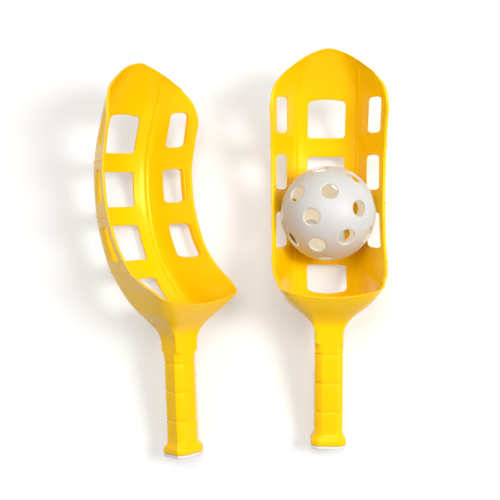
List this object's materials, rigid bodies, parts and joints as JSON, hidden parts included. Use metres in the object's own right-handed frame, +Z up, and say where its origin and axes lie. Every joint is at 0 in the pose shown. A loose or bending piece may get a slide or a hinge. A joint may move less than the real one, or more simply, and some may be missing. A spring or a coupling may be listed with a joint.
{
  "type": "scoop ball set",
  "caption": "Throw-and-catch toy: long yellow hand scoops with windowed troughs and faceted grips, and a white perforated ball that lies in a trough.",
  "frame": {"origin": "middle of the set's footprint, on the surface that it lies on", "axes": "+Z up, +Y along the scoops from their handles to their tips, +X to the right as seen from above with the tips away"},
  "size_m": [0.2602, 0.3544, 0.1159],
  "materials": {
    "yellow_plastic": "smooth glossy moulded yellow plastic",
    "yellow_plastic_left": "smooth glossy moulded yellow plastic",
    "cap_plastic": "satin off-white plastic",
    "cap_plastic_left": "satin off-white plastic",
    "ball_plastic": "satin white moulded plastic"
  },
  "bodies": {
    "root": {"right_scoop": "yellow_plastic", "left_scoop": "yellow_plastic_left", "right_end_cap": "cap_plastic", "left_end_cap": "cap_plastic_left", "ball": "ball_plastic"}
  },
  "joints": []
}
